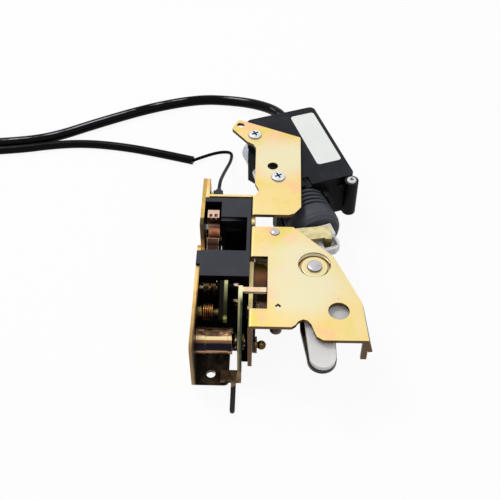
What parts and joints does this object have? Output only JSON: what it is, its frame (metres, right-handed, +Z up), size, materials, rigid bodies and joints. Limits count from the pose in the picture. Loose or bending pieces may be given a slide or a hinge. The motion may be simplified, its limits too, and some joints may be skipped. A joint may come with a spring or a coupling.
{
  "type": "door latch actuator",
  "caption": "Vehicle door latch with fork, pawl and release levers on a bent plate, driven by a motor unit with bellows and leads.",
  "frame": {"origin": "centre of the threaded fixing bush in the outer face of the lock plate", "axes": "+X from the lock plate into the door, +Y along the lock plate towards the motor unit, +Z up towards the open striker mouth"},
  "size_m": [0.319, 0.2976, 0.0464],
  "materials": {
    "zinc": "yellow passivated zinc on stamped steel, satin with a faint iridescence",
    "steel": "plain zinc on steel, satin",
    "spring_wire": "drawn spring wire, satin",
    "fork_plating": "copper toned plating on pressed steel, satin",
    "black_plastic": "moulded black nylon, satin",
    "white_plastic": "moulded white acetal, soft gloss",
    "rubber": "moulded black rubber, satin"
  },
  "bodies": {
    "body": {"lock_plate": "zinc", "back_plate": "zinc", "end_bracket": "zinc", "fixing_bush": "zinc", "spring_post": "zinc", "fork_pin": "steel", "pawl_pin": "steel", "axle_clip": "steel", "outer_lever_pin": "steel", "main_rivet": "steel", "pivot_washer": "steel", "hook_rivet": "steel", "stop_knob": "steel", "bracket_screws": "steel", "post_screw": "steel", "gear_pin": "steel", "motor_can": "steel", "fork_spring": "spring_wire", "pawl_spring": "spring_wire", "lever_spring": "spring_wire", "striker_housing": "black_plastic", "latch_switch": "black_plastic", "actuator_case": "black_plastic", "actuator_cover": "black_plastic", "cable_gland": "black_plastic", "loom_connector": "black_plastic", "striker_bumper": "rubber", "switch_grommet": "rubber", "bellows": "rubber", "conduit": "rubber", "sleeve": "rubber", "switch_lead": "rubber"},
    "fork": {"fork_bolt": "fork_plating"},
    "pawl": {"pawl": "steel", "pawl_plate": "steel"},
    "release": {"release_lever": "zinc"},
    "outer": {"outer_lever": "steel", "ball_stud": "steel"},
    "lock": {"lock_lever": "steel", "lock_tongue": "white_plastic"},
    "hook": {"hook_lever": "steel"},
    "rod": {"push_rod": "white_plastic"},
    "gear": {"drive_gear": "white_plastic"},
    "rotor": {"motor_worm": "black_plastic"},
    "plunger": {"switch_plunger": "black_plastic"}
  },
  "joints": [
    {"name": "fork_turn", "type": "hinge", "parent": "body", "child": "fork", "pos_m": [0.00875, 0.088, -0.007], "axis": [1, 0, 0], "range_deg": [0, 44], "stiffness_Nm_per_rad": 0.05, "springref_deg": -28.65},
    {"name": "pawl_turn", "type": "hinge", "parent": "body", "child": "pawl", "pos_m": [0.00675, 0.037, 0.005], "axis": [1, 0, 0], "range_deg": [-2, 8], "stiffness_Nm_per_rad": 0.1},
    {"name": "release_turn", "type": "hinge", "parent": "body", "child": "release", "pos_m": [0.02825, 0, 0], "axis": [1, 0, 0], "range_deg": [-8, 0], "stiffness_Nm_per_rad": 0.05, "springref_deg": 22.92},
    {"name": "outer_turn", "type": "hinge", "parent": "body", "child": "outer", "pos_m": [0.0366, 0.024, -0.0015], "axis": [1, 0, 0], "range_deg": [-5, 5], "stiffness_Nm_per_rad": 0.1},
    {"name": "rod_slide", "type": "slide", "parent": "body", "child": "rod", "axis": [0.342, -0.9397, 0], "range_m": [-0.008, 0.002], "deforming": ["bellows"]},
    {"name": "hook_turn", "type": "hinge", "parent": "body", "child": "hook", "pos_m": [0.0484, 0.0708, 0.0137], "axis": [0, 0, 1], "range_deg": [-3.2, 12.6]},
    {"name": "lock_turn", "type": "hinge", "parent": "body", "child": "lock", "pos_m": [0.0726, 0.0424, 0.0124], "axis": [0, 0, 1], "range_deg": [-11.7, 3]},
    {"name": "gear_turn", "type": "hinge", "parent": "body", "child": "gear", "pos_m": [0.06515, 0.12809, 0], "axis": [0, 0, 1], "range_deg": [-29, 115]},
    {"name": "rotor_turn", "type": "hinge", "parent": "body", "child": "rotor", "pos_m": [0.05436, 0.1247, -0.003], "axis": [-0.342, 0.9397, 0], "range_deg": [-803, 201]},
    {"name": "plunger_slide", "type": "slide", "parent": "body", "child": "plunger", "axis": [0, 1, 0], "range_m": [0, 0.0015], "stiffness_N_per_m": 200, "springref_m": -0.001}
  ],
  "couplings": [
    {"joint": "hook_turn", "follows": "rod_slide", "rad_per_m": -27.2},
    {"joint": "lock_turn", "follows": "rod_slide", "rad_per_m": 25.37},
    {"joint": "gear_turn", "follows": "rod_slide", "rad_per_m": -250},
    {"joint": "rotor_turn", "follows": "rod_slide", "rad_per_m": 1750}
  ]
}
